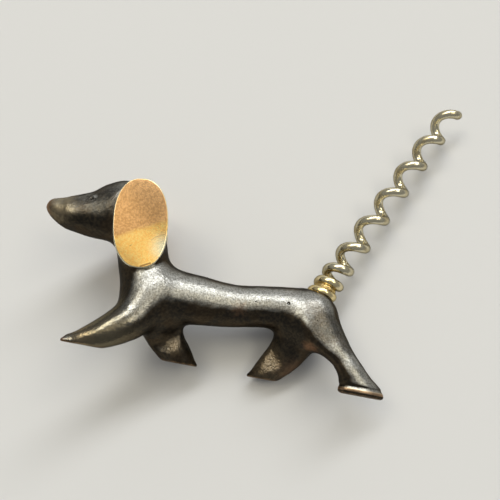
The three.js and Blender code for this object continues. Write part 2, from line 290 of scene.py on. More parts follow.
class Tree:
    """Short calls for making and joining the nodes of one tree."""

    def __init__(self, tree):
        self.nodes = tree.nodes
        self.links = tree.links

    def add(self, kind, inputs=None, **settings):
        node = self.nodes.new(kind)
        for name, value in settings.items():
            setattr(node, name, value)
        for key, value in (inputs or {}).items():
            self.feed(node.inputs[key], value)
        return node

    def feed(self, socket, value):
        if isinstance(value, bpy.types.NodeSocket):
            self.links.new(value, socket)
        else:
            socket.default_value = value

    def group(self, group, place, values):
        """A node group at a place; the outputs are its masks and heights."""
        return self.add("ShaderNodeGroup", {"Place": place, **values}, node_tree=group).outputs

    def spot(self, place, centre, reach, ragged):
        """1 at the centre, 0 at the reach."""
        return self.group(SPOT, place, {"Centre": centre, "Reach": reach, "Ragged": ragged})[0]

    def mix(self, factor, a, b):
        node = self.add("ShaderNodeMix", data_type="RGBA", blend_type="MIX")
        self.feed(node.inputs[0], factor)
        self.feed(node.inputs[6], a)
        self.feed(node.inputs[7], b)
        return node.outputs[2]

    def ramp(self, value, low, high, to_low=0.0, to_high=1.0, kind="SMOOTHSTEP"):
        inputs = {"Value": value, "From Min": low, "From Max": high, "To Min": to_low, "To Max": to_high}
        return self.add("ShaderNodeMapRange", inputs, interpolation_type=kind).outputs[0]

    def math(self, operation, a, b=0.0, clamp=False):
        node = self.add("ShaderNodeMath", {0: a, 1: b}, operation=operation, use_clamp=clamp)
        return node.outputs[0]

    def times(self, a, b, clamp=False):
        return self.math("MULTIPLY", a, b, clamp)

    def off(self, value, level):
        """How far a value is from a level."""
        return self.math("ABSOLUTE", self.math("SUBTRACT", value, level))

    def vector(self, operation, a, b=(0, 0, 0)):
        return self.add("ShaderNodeVectorMath", {0: a, 1: b}, operation=operation).outputs[0]

    def measure(self, operation, a, b):
        """A number from two vectors: their distance or their dot product."""
        return self.add("ShaderNodeVectorMath", {0: a, 1: b}, operation=operation).outputs["Value"]

    def scaled(self, vector, share):
        return self.add("ShaderNodeVectorMath", {0: vector, "Scale": share}, operation="SCALE").outputs[0]

    def divided(self, vector, size):
        sizes = self.add("ShaderNodeCombineXYZ", {axis: size for axis in "XYZ"}).outputs[0]
        return self.vector("DIVIDE", vector, sizes)

    def axes(self, vector):
        return self.add("ShaderNodeSeparateXYZ", {0: vector}).outputs

    def place(self):
        """Where the point lies on the object, in millimetres."""
        place = self.add("ShaderNodeTexCoord").outputs["Object"]
        return self.vector("MULTIPLY", place, (PER_M, PER_M, PER_M))

    def facing(self):
        return self.add("ShaderNodeTexCoord").outputs["Normal"]

    def sideways(self):
        """How squarely the surface faces left or right, from 0 to 1."""
        return self.axes(self.vector("ABSOLUTE", self.facing()))[1]

    def noise(self, place, size, detail=2.0, distortion=0.0):
        inputs = {"Vector": place, "Scale": 1 / size, "Detail": detail, "Distortion": distortion}
        return self.add("ShaderNodeTexNoise", inputs).outputs[0]

    def wobble(self, place, size, detail, amount):
        """Noise round zero."""
        return self.times(self.math("SUBTRACT", self.noise(place, size, detail), 0.5), amount)

    def bump(self, height, depth, normal=None):
        inputs = {"Height": height, "Distance": depth, "Strength": 1.0}
        if normal:
            inputs["Normal"] = normal
        return self.add("ShaderNodeBump", inputs).outputs[0]


def new_material(name):
    material = bpy.data.materials.new(name)
    material.use_nodes = True
    return material, Tree(material.node_tree)


def finish_metal(tree, colour, roughness, normal):
    """Joins what changes over a metal's surface to its shader."""
    shader = tree.nodes["Principled BSDF"]
    shader.inputs["Metallic"].default_value = 1.0
    tree.feed(shader.inputs["Base Color"], colour)
    tree.feed(shader.inputs["Roughness"], roughness)
    tree.feed(shader.inputs["Normal"], normal)
    return shader


def new_group(name, inputs, outputs):
    """An empty node group at a place, with named number inputs and outputs."""
    group = bpy.data.node_groups.new(name, "ShaderNodeTree")
    group.interface.new_socket("Place", in_out="INPUT", socket_type="NodeSocketVector")
    for socket, value in inputs:
        kind = "NodeSocketVector" if value is None else "NodeSocketFloat"
        made = group.interface.new_socket(socket, in_out="INPUT", socket_type=kind)
        if value is not None:
            made.default_value = value
    for socket in outputs:
        group.interface.new_socket(socket, in_out="OUTPUT", socket_type="NodeSocketFloat")
    tree = Tree(group)
    return group, tree, tree.add("NodeGroupInput").outputs, tree.add("NodeGroupOutput").inputs


# Node groups: effects that several finishes share


CRUMB_DETAIL = 3.0
PIT_FADE = 1.6
PITTED_CELLS = 0.955


def cast_grain_group():
    """The grain of a sand cast skin: fine crumbs, and pits here and there."""
    inputs = [("Crumb size", 0.3), ("Pit spacing", 1.2), ("Pit size", 0.2)]
    group, tree, given, out = new_group("cast grain", inputs, ["Height", "Pits"])
    crumbs = tree.noise(tree.divided(given["Place"], given["Crumb size"]), 1.0, CRUMB_DETAIL)
    spread = tree.divided(given["Place"], given["Pit spacing"])
    cells = tree.add("ShaderNodeTexVoronoi", {"Vector": spread, "Scale": 1.0}).outputs
    pit_edge = tree.times(given["Pit size"], PIT_FADE)
    pits = tree.ramp(cells["Distance"], given["Pit size"], pit_edge, 1.0, 0.0, "LINEAR")
    cell_share = tree.add("ShaderNodeSeparateColor", {0: cells["Color"]}).outputs[0]
    pits = tree.times(pits, tree.math("GREATER_THAN", cell_share, PITTED_CELLS))
    tree.feed(out["Height"], tree.math("SUBTRACT", crumbs, pits))
    tree.feed(out["Pits"], pits)
    return group


PATCH_DETAIL = 4.0
PATCH_DISTORTION = 0.4


def patch_group():
    """A mask that is 1 in ragged patches of a given size."""
    inputs = [("Size", 5.0), ("From", 0.45), ("To", 0.6)]
    group, tree, given, out = new_group("patches", inputs, ["Mask"])
    cloud = tree.noise(tree.divided(given["Place"], given["Size"]), 1.0, PATCH_DETAIL, PATCH_DISTORTION)
    tree.feed(out["Mask"], tree.ramp(cloud, given["From"], given["To"]))
    return group


SPOT_CLOUD = (0.9, 3.0)


def spot_group():
    """A mask that fades from 1 at a place to 0 at a distance, with a ragged edge."""
    inputs = [("Centre", None), ("Reach", 2.0), ("Ragged", 1.0)]
    group, tree, given, out = new_group("spot", inputs, ["Mask"])
    away = tree.measure("DISTANCE", given["Place"], given["Centre"])
    away = tree.math("ADD", away, tree.wobble(given["Place"], *SPOT_CLOUD, given["Ragged"]))
    tree.feed(out["Mask"], tree.ramp(away, 0.0, given["Reach"], 1.0, 0.0))
    return group


SEEN_FROM_SIDE = (1, 0, 1)
SCRATCH_CLOUD = (0.7, 2.0)
SCRATCH_RAGGED = 0.5
SCRATCH_CORE = 0.3


def scratch_group():
    """A mask that is 1 along a line across the ear plates, seen from the side."""
    inputs = [("Start", None), ("End", None), ("Width", 0.1)]
    group, tree, given, out = new_group("scratch", inputs, ["Mask"])
    ragged = tree.wobble(given["Place"], *SCRATCH_CLOUD, SCRATCH_RAGGED)
    flat = tree.vector("MULTIPLY", given["Place"], SEEN_FROM_SIDE)
    line = tree.vector("SUBTRACT", given["End"], given["Start"])
    from_start = tree.vector("SUBTRACT", flat, given["Start"])
    along = tree.measure("DOT_PRODUCT", from_start, line)
    share = tree.math("DIVIDE", along, tree.measure("DOT_PRODUCT", line, line), clamp=True)
    away = tree.measure("DISTANCE", from_start, tree.scaled(line, share))
    away = tree.math("ADD", away, tree.times(ragged, given["Width"]))
    core = tree.times(given["Width"], SCRATCH_CORE)
    tree.feed(out["Mask"], tree.ramp(away, core, given["Width"], 1.0, 0.0))
    return group


SCRATCH = scratch_group()
CAST_GRAIN = cast_grain_group()
PATCHES = patch_group()
SPOT = spot_group()

# How much light the metals throw back at their outlines
EDGE_TINT = (0.5, 0.5, 0.5, 1)
WIRE_EDGE_TINT = (0.3, 0.3, 0.3, 1)

# In the finishes, a cloud is a noise's size in millimetres and its detail, and a range is where a
# ramp starts and ends, with its values there when they aren't 0 and 1.

# The dark patina: its own colours, those that the worn places take, and those of its painted highlights
# and painted shade
PATINA = (0.034, 0.030, 0.024, 1)
WARM_PATINA = (0.050, 0.037, 0.024, 1)
CLOUDED_PATINA = (0.10, 0.077, 0.048, 1)
HOLLOW_BLACK = (0.02, 0.017, 0.014, 1)
SILVER = (0.445, 0.44, 0.4, 1)
LID_SILVER = (0.62, 0.61, 0.56, 1)
COPPER = (0.41, 0.225, 0.125, 1)
RIM_COPPER = (0.42, 0.265, 0.15, 1)
RIDGE_HIGHLIGHT = (0.88, 0.77, 0.56, 1)
BRONZE = (0.34, 0.26, 0.155, 1)
GILT_BRONZE = (0.525, 0.43, 0.27, 1)
DARK_BRONZE = (0.19, 0.163, 0.106, 1)
BROWN = (0.16, 0.10, 0.062, 1)

# The unworn patina: its grain, its warm patches and its bronze clouds
SKIN_GRAIN = {"Crumb size": 0.5, "Pit spacing": 1.6, "Pit size": 0.09}
SKIN_GRAIN_DEPTH = 0.055 * MM
WARM_PATCHES = {"Size": 6.0, "From": 0.42, "To": 0.62}
CLOUDED = (0.8, 5.0)
CLOUDED_RANGE = (0.38, 0.68)
CLOUDED_STRENGTH = 0.45

# The rub of hands, which is also a painted highlight where the lamps' light falls: how far facing
# sideways and facing up count, its ragged edge and its speckle
RUB_SHEEN_SIDEWAYS = 0.93
RUB_SHEEN_UP = 0.37
RUB_SHEEN_CLOUD = (2.6, 5.0)
RUB_SHEEN_RAGGED = 0.16
RUB_SHEEN_RANGE = (0.75, 0.94)
RUB_SHEEN_STRENGTH = 0.8
SPECKLE = (0.45, 5.0)
SPECKLE_RANGE = (0.36, 0.62, 0.5, 1.0)
PLACE_RAGGED = 2.0
PLACE_RANGE = (0.0, 0.6)

# Places with less rub and less painted highlight: middle, reach, and the share of the rub that they get
DULL_PLACES = [
    ((-42.5, -5.5, 36.0), 13.0, 0.2),
    ((-42.5, 5.5, 36.0), 13.0, 0.2),
    ((-52.0, -4.8, 36.0), 6.0, 0.3),
    ((-52.0, 4.8, 36.0), 6.0, 0.3),
    ((23.6, -8.8, 17.0), 7.5, 0.3),
    ((19.5, -7.5, 21.0), 4.5, 0.6),
    ((31.0, -8.5, 14.5), 6.0, 0.35),
    ((-35.5, -10.0, 5.0), 11.0, 0.5),
    ((9.8, 3.7, 4.8), 9.0, 0.16),
    ((-16.6, 1.9, 3.8), 9.0, 0.12),
]

# The bright lids of the eyes: rubbed silver, and partly a painted glint
BOTH_SIDES_AS_LEFT = (-1, -1, 1)
LID_MIDDLE = Vector(LEFT_EYE) + Vector((0.75, 0, 0.65))
LID_REACH = 1.15
LID_RAGGED = 0.3
LID_STRENGTH = 0.8
LID_POLISH = 0.6

# Worn edges: the soles' edges, partly a painted highlight, the near hind hoof's rim, and a painted
# highlight along the ridge over that rim
EDGE_CLOUD = (1.1, 4.0)
EDGE_RAGGED = 1.6
SOLE_EDGE_RANGE = (0.5, 0.0)
SOLE_EDGE_STRENGTH = 0.5
RIM_ABOVE = 0.1
RIM_RAGGED = 0.2
RIM_RANGE = (0.55, 0.25)
RIM_STRENGTH = 0.8
RIDGE_ABOVE = 0.45
RIDGE_RANGE = (0.3, 0.1)
RIDGE_STRENGTH = 0.25

# Places where the patina is worn through, where the muzzle's gilt bronze, the far front leg's bronze and
# the near front toe's bronze are also a painted sheen: middle, reach, raggedness, strength and colour
WORN_AND_SHEEN_SPOTS = [
    ((-56.5, -4.5, 37.2), 7.5, 4.0, 0.65, GILT_BRONZE),
    ((-56.5, 4.5, 37.2), 7.5, 4.0, 0.65, GILT_BRONZE),
    ((-36.0, -9.8, 5.5), 13.0, 4.0, 0.9, DARK_BRONZE),
    ((18.0, 2.5, 4.0), 6.0, 3.0, 0.7, BROWN),
    ((10.5, 2.8, 5.0), 8.0, 4.0, 0.4, BRONZE),
    ((-17.5, 1.0, 4.5), 5.0, 3.0, 0.35, BRONZE),
    ((-60.3, 0, 36.6), 4.6, 3.0, 0.85, COPPER),
    ((21.1, -5.4, 11.3), 3.4, 3.0, 0.6, COPPER),
    ((-1.0, -6.1, 17.4), 3.2, 5.0, 0.2, COPPER),
    ((-40.8, -9.3, 2.4), 5.0, 3.0, 0.55, BRONZE),
    ((-46.6, -7.2, 0.4), 2.6, 1.6, 0.8, COPPER),
]

# The painted shade in the dimples: its reach in shares of their radius, its ragged edge and its strength
DIMPLE_SHADE_SHARE = 1.1
DIMPLE_SHADE_RAGGED = 0.1
DIMPLE_SHADE_STRENGTH = 1.6

# The skin's roughness and its ripples, and the smooth near front leg, with its middle and reach
ROUGH_CLOUD = (1.6, 4.0)
ROUGH_RANGE = (0.3, 0.7, 0.32, 0.44)
RIPPLES = (1.1, 3.0)
RIPPLE_DEPTH = 0.085 * MM
SMOOTH_LEG = ((-36.0, -9.8, 5.5), 16.0)
SMOOTH_LEG_POLISH = 0.62

# The roughened places on the far legs: middle and reach
ROUGH_PLACES = [
    ((10.5, 2.8, 5.0), 9.0),
    ((-17.0, 1.2, 3.8), 5.0),
]
ROUGH_PLACE_CLOUD = (1.0, 3.0)
ROUGH_PLACE_DEPTH = 0.45 * MM


def patina_material():
    """Near black patina, silvery on top where hands rub and a highlight is painted, and down to copper at
    the toes and the nose, with painted shade in the dimples.
    """
    material, tree = new_material("dark_patina")
    place = tree.place()
    grain = tree.group(CAST_GRAIN, place, SKIN_GRAIN)
    lid = lid_mask(tree, place)
    rub_and_sheen = tree.math("MAXIMUM", rub_and_sheen_mask(tree, place), lid)
    colour = unworn_patina(tree, place)
    # Silver where hands rub, which is also a painted highlight where the lamps' light falls
    colour = tree.mix(tree.times(rub_and_sheen, RUB_SHEEN_STRENGTH), colour, SILVER)
    # The lids' silver, partly a painted glint
    colour = tree.mix(tree.times(lid, LID_STRENGTH), colour, LID_SILVER)
    colour = worn_and_highlit_edges(tree, place, colour)
    # Worn spots; on the muzzle, the far front leg and the near front toe they are partly a painted sheen
    for centre, reach, ragged, strength, tint in WORN_AND_SHEEN_SPOTS:
        spot = tree.spot(place, centre, reach, ragged)
        colour = tree.mix(tree.times(spot, strength), colour, tint)
    # Darker in the grain's pits, and painted shade in the dimples
    colour = tree.mix(hollow_mask(tree, place, grain["Pits"]), colour, HOLLOW_BLACK)
    roughness = skin_roughness(tree, place, lid)
    shader = finish_metal(tree, colour, roughness, skin_normal(tree, place, grain["Height"]))
    shader.inputs["Specular Tint"].default_value = EDGE_TINT
    return material


def unworn_patina(tree, place):
    """Warm in patches, with clouds of bronze."""
    warm = tree.group(PATCHES, place, WARM_PATCHES)[0]
    colour = tree.mix(warm, PATINA, WARM_PATINA)
    clouds = tree.ramp(tree.noise(place, *CLOUDED), *CLOUDED_RANGE)
    return tree.mix(tree.times(clouds, CLOUDED_STRENGTH), colour, CLOUDED_PATINA)


def rub_and_sheen_mask(tree, place):
    """Where hands rub the skin and a highlight is painted: on its sides and its top, facing the lamps,
    away from the dull places.
    """
    up = tree.axes(tree.facing())[2]
    toward_highlight = tree.math("ADD", tree.times(tree.sideways(), RUB_SHEEN_SIDEWAYS), tree.times(up, RUB_SHEEN_UP))
    cloud = tree.wobble(place, *RUB_SHEEN_CLOUD, RUB_SHEEN_RAGGED)
    rub_and_sheen = tree.ramp(tree.math("ADD", toward_highlight, cloud), *RUB_SHEEN_RANGE)
    rub_and_sheen = tree.times(rub_and_sheen, tree.ramp(tree.noise(place, *SPECKLE), *SPECKLE_RANGE))
    for centre, reach, share in DULL_PLACES:
        dull = tree.spot(place, centre, reach, PLACE_RAGGED)
        rub_and_sheen = tree.times(rub_and_sheen, tree.ramp(dull, *PLACE_RANGE, 1.0, share))
    return rub_and_sheen


def lid_mask(tree, place):
    """1 on the lids of both eyes."""
    mirrored = tree.vector("MULTIPLY", tree.vector("ABSOLUTE", place), BOTH_SIDES_AS_LEFT)
    return tree.spot(mirrored, tuple(LID_MIDDLE), LID_REACH, LID_RAGGED)


def worn_and_highlit_edges(tree, place, colour):
    """Copper along the edges of the soles, partly a painted highlight, and the rim of the near hind hoof,
    with a pale painted highlight on the ridge above it.
    """
    along, _, height = tree.axes(place)
    ragged = tree.wobble(place, *EDGE_CLOUD, EDGE_RAGGED)
    # The soles' edges: worn copper, partly a painted highlight
    sole_edge = tree.ramp(tree.math("ADD", height, ragged), *SOLE_EDGE_RANGE)
    hoof = tree.math("GREATER_THAN", along, HOOF_FROM * PER_M)
    off_rim = tree.off(height, HOOF_HEIGHT * PER_M + RIM_ABOVE)
    rim = tree.ramp(tree.math("ADD", off_rim, tree.times(ragged, RIM_RAGGED)), *RIM_RANGE)
    worn_and_highlit = tree.math("MAXIMUM", tree.times(sole_edge, SOLE_EDGE_STRENGTH), tree.times(rim, hoof))
    colour = tree.mix(tree.times(worn_and_highlit, RIM_STRENGTH), colour, RIM_COPPER)
    # A pale painted highlight along the ridge over the rim
    off_ridge = tree.off(height, HOOF_HEIGHT * PER_M + RIDGE_ABOVE)
    ridge = tree.times(tree.ramp(off_ridge, *RIDGE_RANGE), hoof)
    return tree.mix(tree.times(ridge, RIDGE_STRENGTH), colour, RIDGE_HIGHLIGHT)


def hollow_mask(tree, place, pits):
    """1 in the pits of the grain, and in the dimples as painted shade."""
    for middle, radius, _ in DIMPLES:
        # Painted shade in each dimple
        dimple_shade = tree.spot(place, middle, radius * DIMPLE_SHADE_SHARE, DIMPLE_SHADE_RAGGED)
        pits = tree.math("MAXIMUM", pits, tree.times(dimple_shade, DIMPLE_SHADE_STRENGTH, clamp=True))
    return pits


def skin_roughness(tree, place, lid):
    rough = tree.ramp(tree.noise(place, *ROUGH_CLOUD), *ROUGH_RANGE)
    smooth = tree.spot(place, *SMOOTH_LEG, PLACE_RAGGED)
    rough = tree.times(rough, tree.ramp(smooth, *PLACE_RANGE, 1.0, SMOOTH_LEG_POLISH))
    return tree.times(rough, tree.ramp(lid, 0.0, 1.0, 1.0, LID_POLISH))


def skin_normal(tree, place, grain_height):
    """The relief of the grain, the roughened places and the ripples, one over the other."""
    normal = tree.bump(grain_height, SKIN_GRAIN_DEPTH)
    for centre, reach in ROUGH_PLACES:
        spot = tree.spot(place, centre, reach, PLACE_RAGGED)
        height = tree.times(spot, tree.noise(place, *ROUGH_PLACE_CLOUD))
        normal = tree.bump(height, ROUGH_PLACE_DEPTH, normal)
    return tree.bump(tree.noise(place, *RIPPLES), RIPPLE_DEPTH, normal)


# The ears: colours, and the slanting edge between their upper and lower zones, the upper one browner and
# partly a painted darker reflection
EAR_BROWN = (0.60, 0.335, 0.135, 1)
EAR_PALE_BROWN = (0.81, 0.48, 0.215, 1)
EAR_GOLD = (0.98, 0.58, 0.165, 1)
EAR_PALE_GOLD = (0.99, 0.70, 0.255, 1)
EAR_MARK_BROWN = (0.21, 0.105, 0.04, 1)
EAR_RIM_HIGHLIGHT = (0.98, 0.9, 0.62, 1)
EAR_GLINT = (0.99, 0.94, 0.67, 1)
EAR_EDGE_SLOPE = -0.57
EAR_EDGE_LEVEL = 52.0
EAR_EDGE_FADE = (-0.8, 1.4)
EAR_EDGE_CLOUD = (2.5, 3.0)
EAR_EDGE_RAGGED = 1.2

# Their mottle, the painted highlight on their rim, the painted glint at their lower corner, polish and
# slight unevenness
MOTTLE = (0.55, 6.0, 0.4)
MOTTLE_RANGE = (0.34, 0.66)
MOTTLE_DEPTH = 0.002 * MM
EAR_RIM_RANGE = (0.99, 0.9)
EAR_GLINT_PLACE = (-24.6, 0, 29.6)
EAR_GLINT_REACH = 5.6
EAR_GLINT_RAGGED = 2.0
EAR_ROUGH_RANGE = (0.0, 1.0, 0.2, 0.23)
EAR_UNEVEN = (5.0, 1.0)
EAR_UNEVEN_DEPTH = 0.012 * MM

# Scratches and a nick on the ears: start, end and width
EAR_MARKS = [
    ((-27.6, 0, 24.6), (-29.9, 0, 23.3), 0.35),
    ((-26.9, 0, 24.3), (-28.6, 0, 23.4), 0.2),
    ((-25.4, 0, 33.3), (-27.6, 0, 32.1), 0.1),
    ((-27.6, 0, 32.1), (-28.6, 0, 30.9), 0.08),
    ((-25.2, 0, 31.6), (-27.1, 0, 30.2), 0.07),
    ((-28.4, 0, 38.9), (-30.6, 0, 37.6), 0.07),
    ((-33.5, 0, 28.6), (-34.0, 0, 28.1), 0.1),
]
EAR_MARK_STRENGTH = 0.75


def ear_material():
    """Copper gold: browner and finely scuffed above a slanting edge, where the browner colour is partly a
    painted darker reflection, and brighter and yellower below it, with a painted highlight on the rim and
    a painted glint at the lower corner.
    """
    material, tree = new_material("polished_copper")
    place = tree.place()
    tarnish_and_reflection = tarnish_and_reflection_mask(tree, place)
    mottle = tree.ramp(tree.noise(place, *MOTTLE), *MOTTLE_RANGE)
    brown = tree.mix(mottle, EAR_BROWN, EAR_PALE_BROWN)
    gold = tree.mix(mottle, EAR_GOLD, EAR_PALE_GOLD)
    # Browner above the edge, partly a painted darker reflection
    colour = tree.mix(tarnish_and_reflection, gold, brown)
    marks = 0.0
    for start, end, width in EAR_MARKS:
        mark = tree.group(SCRATCH, place, {"Start": start, "End": end, "Width": width})[0]
        marks = tree.math("MAXIMUM", mark, marks)
    colour = tree.mix(tree.times(marks, EAR_MARK_STRENGTH), colour, EAR_MARK_BROWN)
    # Paler on the rounded rim: a painted highlight
    colour = tree.mix(tree.ramp(tree.sideways(), *EAR_RIM_RANGE), colour, EAR_RIM_HIGHLIGHT)
    # A painted glint at the ear's lower corner
    flat = tree.vector("MULTIPLY", place, SEEN_FROM_SIDE)
    glint = tree.spot(flat, EAR_GLINT_PLACE, EAR_GLINT_REACH, EAR_GLINT_RAGGED)
    colour = tree.mix(glint, colour, EAR_GLINT)
    scuffs = tree.bump(mottle, MOTTLE_DEPTH)
    normal = tree.bump(tree.noise(place, *EAR_UNEVEN), EAR_UNEVEN_DEPTH, scuffs)
    finish_metal(tree, colour, tree.ramp(tarnish_and_reflection, *EAR_ROUGH_RANGE), normal)
    return material


def tarnish_and_reflection_mask(tree, place):
    """1 above the slanting edge."""
    along, _, height = tree.axes(place)
    slant = tree.math("ADD", height, tree.times(along, EAR_EDGE_SLOPE))
    slant = tree.math("ADD", slant, tree.times(tree.noise(place, *EAR_EDGE_CLOUD), EAR_EDGE_RAGGED))
    low, high = (EAR_EDGE_LEVEL + fade for fade in EAR_EDGE_FADE)
    return tree.ramp(slant, low, high)


# The braze: its colours, its stains, and the painted shade in the hollow round it, with its height along
# the tail
BRASS = (0.82, 0.62, 0.26, 1)
DARKENED_BRASS = (0.275, 0.175, 0.075, 1)
BRASS_PATCHES = {"Size": 1.6, "From": 0.44, "To": 0.64}
BRASS_DARKENING_STRENGTH = 0.75
BRASS_ROUGH_RANGE = (0.0, 1.0, 0.24, 0.48)
BRASS_GRAIN = (0.5, 3.0)
BRASS_GRAIN_DEPTH = 0.03 * MM
BRAZE_HOLLOW_HEIGHT = 4.1
BRAZE_HOLLOW_RANGE = (1.7, 0.8)
BRAZE_HOLLOW_SHADE = 0.8


def braze_material():
    """Brass as it froze: yellow, oxidised brown in patches, with painted shade in the hollow round it."""
    material, tree = new_material("brass")
    place = tree.place()
    patches = tree.group(PATCHES, place, BRASS_PATCHES)[0]
    along = tree.measure("DOT_PRODUCT", place, tuple(TAIL_AXIS))
    off_hollow = tree.off(along, TAIL_AXIS.dot(TAIL_SEAT) * PER_M + BRAZE_HOLLOW_HEIGHT)
    # Painted shade in the hollow between the braze's rings
    hollow_shade = tree.times(tree.ramp(off_hollow, *BRAZE_HOLLOW_RANGE), BRAZE_HOLLOW_SHADE)
    darkened = tree.math("MAXIMUM", patches, hollow_shade)
    colour = tree.mix(tree.times(darkened, BRASS_DARKENING_STRENGTH), BRASS, DARKENED_BRASS)
    normal = tree.bump(tree.noise(place, *BRASS_GRAIN), BRASS_GRAIN_DEPTH)
    shader = finish_metal(tree, colour, tree.ramp(darkened, *BRASS_ROUGH_RANGE), normal)
    shader.inputs["Specular Tint"].default_value = WIRE_EDGE_TINT
    return material


# The wire: its colours, its grain and stains, and the tint that the braze leaves near the rump
STEEL = (0.70, 0.64, 0.46, 1)
STAINED_STEEL = (0.56, 0.475, 0.29, 1)
GILT_STEEL = (0.87, 0.69, 0.34, 1)
STEEL_PIT = (0.2, 0.15, 0.1, 1)
STEEL_SHADE = (0.2, 0.16, 0.09, 1)
WIRE_GRAIN = {"Crumb size": 0.22, "Pit spacing": 0.8, "Pit size": 0.14}
WIRE_GRAIN_DEPTH = 0.008 * MM
WIRE_PIT_STRENGTH = 0.6
WIRE_PATCHES = {"Size": 2.2, "From": 0.45, "To": 0.7}
WIRE_ROUGH_RANGE = (0.0, 1.0, 0.22, 0.34)
GILT_HEIGHT = 3 * MM
GILT_REACH = 9.0
GILT_RAGGED = 2.5
GILT_STRENGTH = 1.5
SHADE_RANGE = (0.62, 0.15)
SHADE_STRENGTH = 0.5


def wire_material():
    """Drawn steel wire, warm and finely pitted, tinted by the braze near the rump."""
    material, tree = new_material("worm_steel")
    place = tree.place()
    grain = tree.group(CAST_GRAIN, place, WIRE_GRAIN)
    darkened = tree.group(PATCHES, place, WIRE_PATCHES)[0]
    colour = tree.mix(darkened, STEEL, STAINED_STEEL)
    seat = tuple((TAIL_SEAT + TAIL_AXIS * GILT_HEIGHT) * PER_M)
    gilt = tree.spot(place, seat, GILT_REACH, GILT_RAGGED)
    colour = tree.mix(tree.times(gilt, GILT_STRENGTH, clamp=True), colour, GILT_STEEL)
    colour = tree.mix(tree.times(grain["Pits"], WIRE_PIT_STRENGTH), colour, STEEL_PIT)
    shade = tree.ramp(tree.sideways(), *SHADE_RANGE)
    colour = tree.mix(tree.times(shade, SHADE_STRENGTH), colour, STEEL_SHADE)
    normal = tree.bump(grain["Height"], WIRE_GRAIN_DEPTH)
    shader = finish_metal(tree, colour, tree.ramp(darkened, *WIRE_ROUGH_RANGE), normal)
    shader.inputs["Specular Tint"].default_value = WIRE_EDGE_TINT
    return material


def stage_material():
    """Pale and matt, and clear from behind, so that the object can be seen from every side."""
    material, tree = new_material("pale_stage")
    shader = tree.nodes["Principled BSDF"]
    shader.inputs["Base Color"].default_value = STAGE_COLOUR
    shader.inputs["Roughness"].default_value = STAGE_ROUGHNESS
    clear = tree.add("ShaderNodeBsdfTransparent").outputs[0]
    behind = tree.add("ShaderNodeNewGeometry").outputs["Backfacing"]
    mixed = tree.add("ShaderNodeMixShader", {0: behind, 1: shader.outputs[0], 2: clear}).outputs[0]
    tree.feed(tree.nodes["Material Output"].inputs["Surface"], mixed)
    return material


# The cast dog


def casting(material):
    """The casting, shaped, evenly meshed, smoothed and dimpled."""
    shape = merged_copy("body_casting")
    close_tail_seat(shape)
    fill_eyes(shape)
    chamfer_hoof(shape)
    blunt_toe(shape)
    for middle, reach, push in SWELLINGS:
        swell(shape, Vector(middle) * MM, reach * MM, Vector(push) * MM)
    for point, facing, reach in FLATS:
        flatten(shape, Vector(point) * MM, Vector(facing).normalized(), reach * MM)
    shape = even_mesh(shape)
    smooth_skin(shape)
    hoof_groove(shape)
    for middle, radius, depth in DIMPLES:
        dimple(shape, Vector(middle) * MM, radius * MM, depth * MM)
    soft = [v.index for v in shape.verts if v.co.z > SOLE_CLEAR]
    made = piece("cast_dog", shape, material, ["body_casting"])
    made.vertex_groups.new(name="skin").add(soft, 1.0, "REPLACE")
    displace(made, "hand_worked_waves", WAVE_SIZE, WAVES, "skin")


def close_tail_seat(shape):
    """Takes the tail's seat and its bore out of the rump and closes the skin over them."""
    to_tail = TAIL.inverted()
    inside = []
    for vert in shape.verts:
        local = to_tail @ vert.co
        off_axis = Vector((local.x, local.y)).length
        on_seat = abs(local.z) < NEAR and off_axis < SEAT_RADIUS + NEAR
        in_bore = local.z < NEAR and off_axis < BORE_RADIUS and local.z > -BORE_DEPTH
        if on_seat or in_bore:
            inside.append(vert)
    bmesh.ops.delete(shape, geom=inside, context="VERTS")
    lid = bmesh.ops.holes_fill(shape, edges=open_edges(shape), sides=0)["faces"]
    centres = bmesh.ops.poke(shape, faces=lid)["verts"]
    bmesh.ops.translate(shape, verts=centres, vec=TAIL_AXIS * SEAT_CROWN)


def fill_eyes(shape):
    """Takes the plain sphere cuts of the eyes out; finer dimples follow on the even mesh."""
    inside = [vert for vert in shape.verts if in_eye(vert)]
    bmesh.ops.delete(shape, geom=inside, context="VERTS")
    filled = bmesh.ops.holes_fill(shape, edges=open_edges(shape), sides=0)["faces"]
    bmesh.ops.triangulate(shape, faces=filled)


def in_eye(vert):
    as_left = Vector((vert.co.x, -abs(vert.co.y), vert.co.z))
    return (as_left - EYE_CUT).length < EYE_CUT_RADIUS


def chamfer_hoof(shape):
    """The near hind foot's sole is smaller than its rim, which stands a little off the ground."""
    foot = [face for face in shape.faces if face.calc_center_median().x > HOOF_FROM]
    level = Vector((0, 0, HOOF_HEIGHT))
    geometry = with_outlines(foot)
    bmesh.ops.bisect_plane(shape, geom=geometry, dist=MERGE, plane_co=level, plane_no=UPWARDS)
    sole = [v for v in shape.verts if v.co.z < MERGE and v.co.x > HOOF_FROM]
    rim = [v for v in shape.verts if abs(v.co.z - HOOF_HEIGHT) < MERGE and v.co.x > HOOF_FROM]
    middle = sum((v.co for v in sole), Vector()) / len(sole)
    for verts, shares in ((sole, HOOF_SOLE_SHARE), (rim, (RIM_FLARE, RIM_FLARE))):
        for vert in verts:
            vert.co.x = middle.x + (vert.co.x - middle.x) * shares[0]
            vert.co.y = middle.y + (vert.co.y - middle.y) * shares[1]


def blunt_toe(shape):
    """The tip of the near front foot is thick, not a wedge."""
    for vert in shape.verts:
        tip = (TOE_FROM - vert.co.x) / TOE_LENGTH
        if tip > 0 and vert.co.y < 0 and vert.co.z > TOE_SKIN:
            vert.co.z += TOE_RISE * min(1, tip)


def swell(shape, middle, reach, push):
    """Pushes the skin round a point, fading with the distance from it."""
    for vert in shape.verts:
        off = (vert.co - middle).length / reach
        if vert.co.z > SOLE_CLEAR:
            vert.co += push * exp(-off * off)


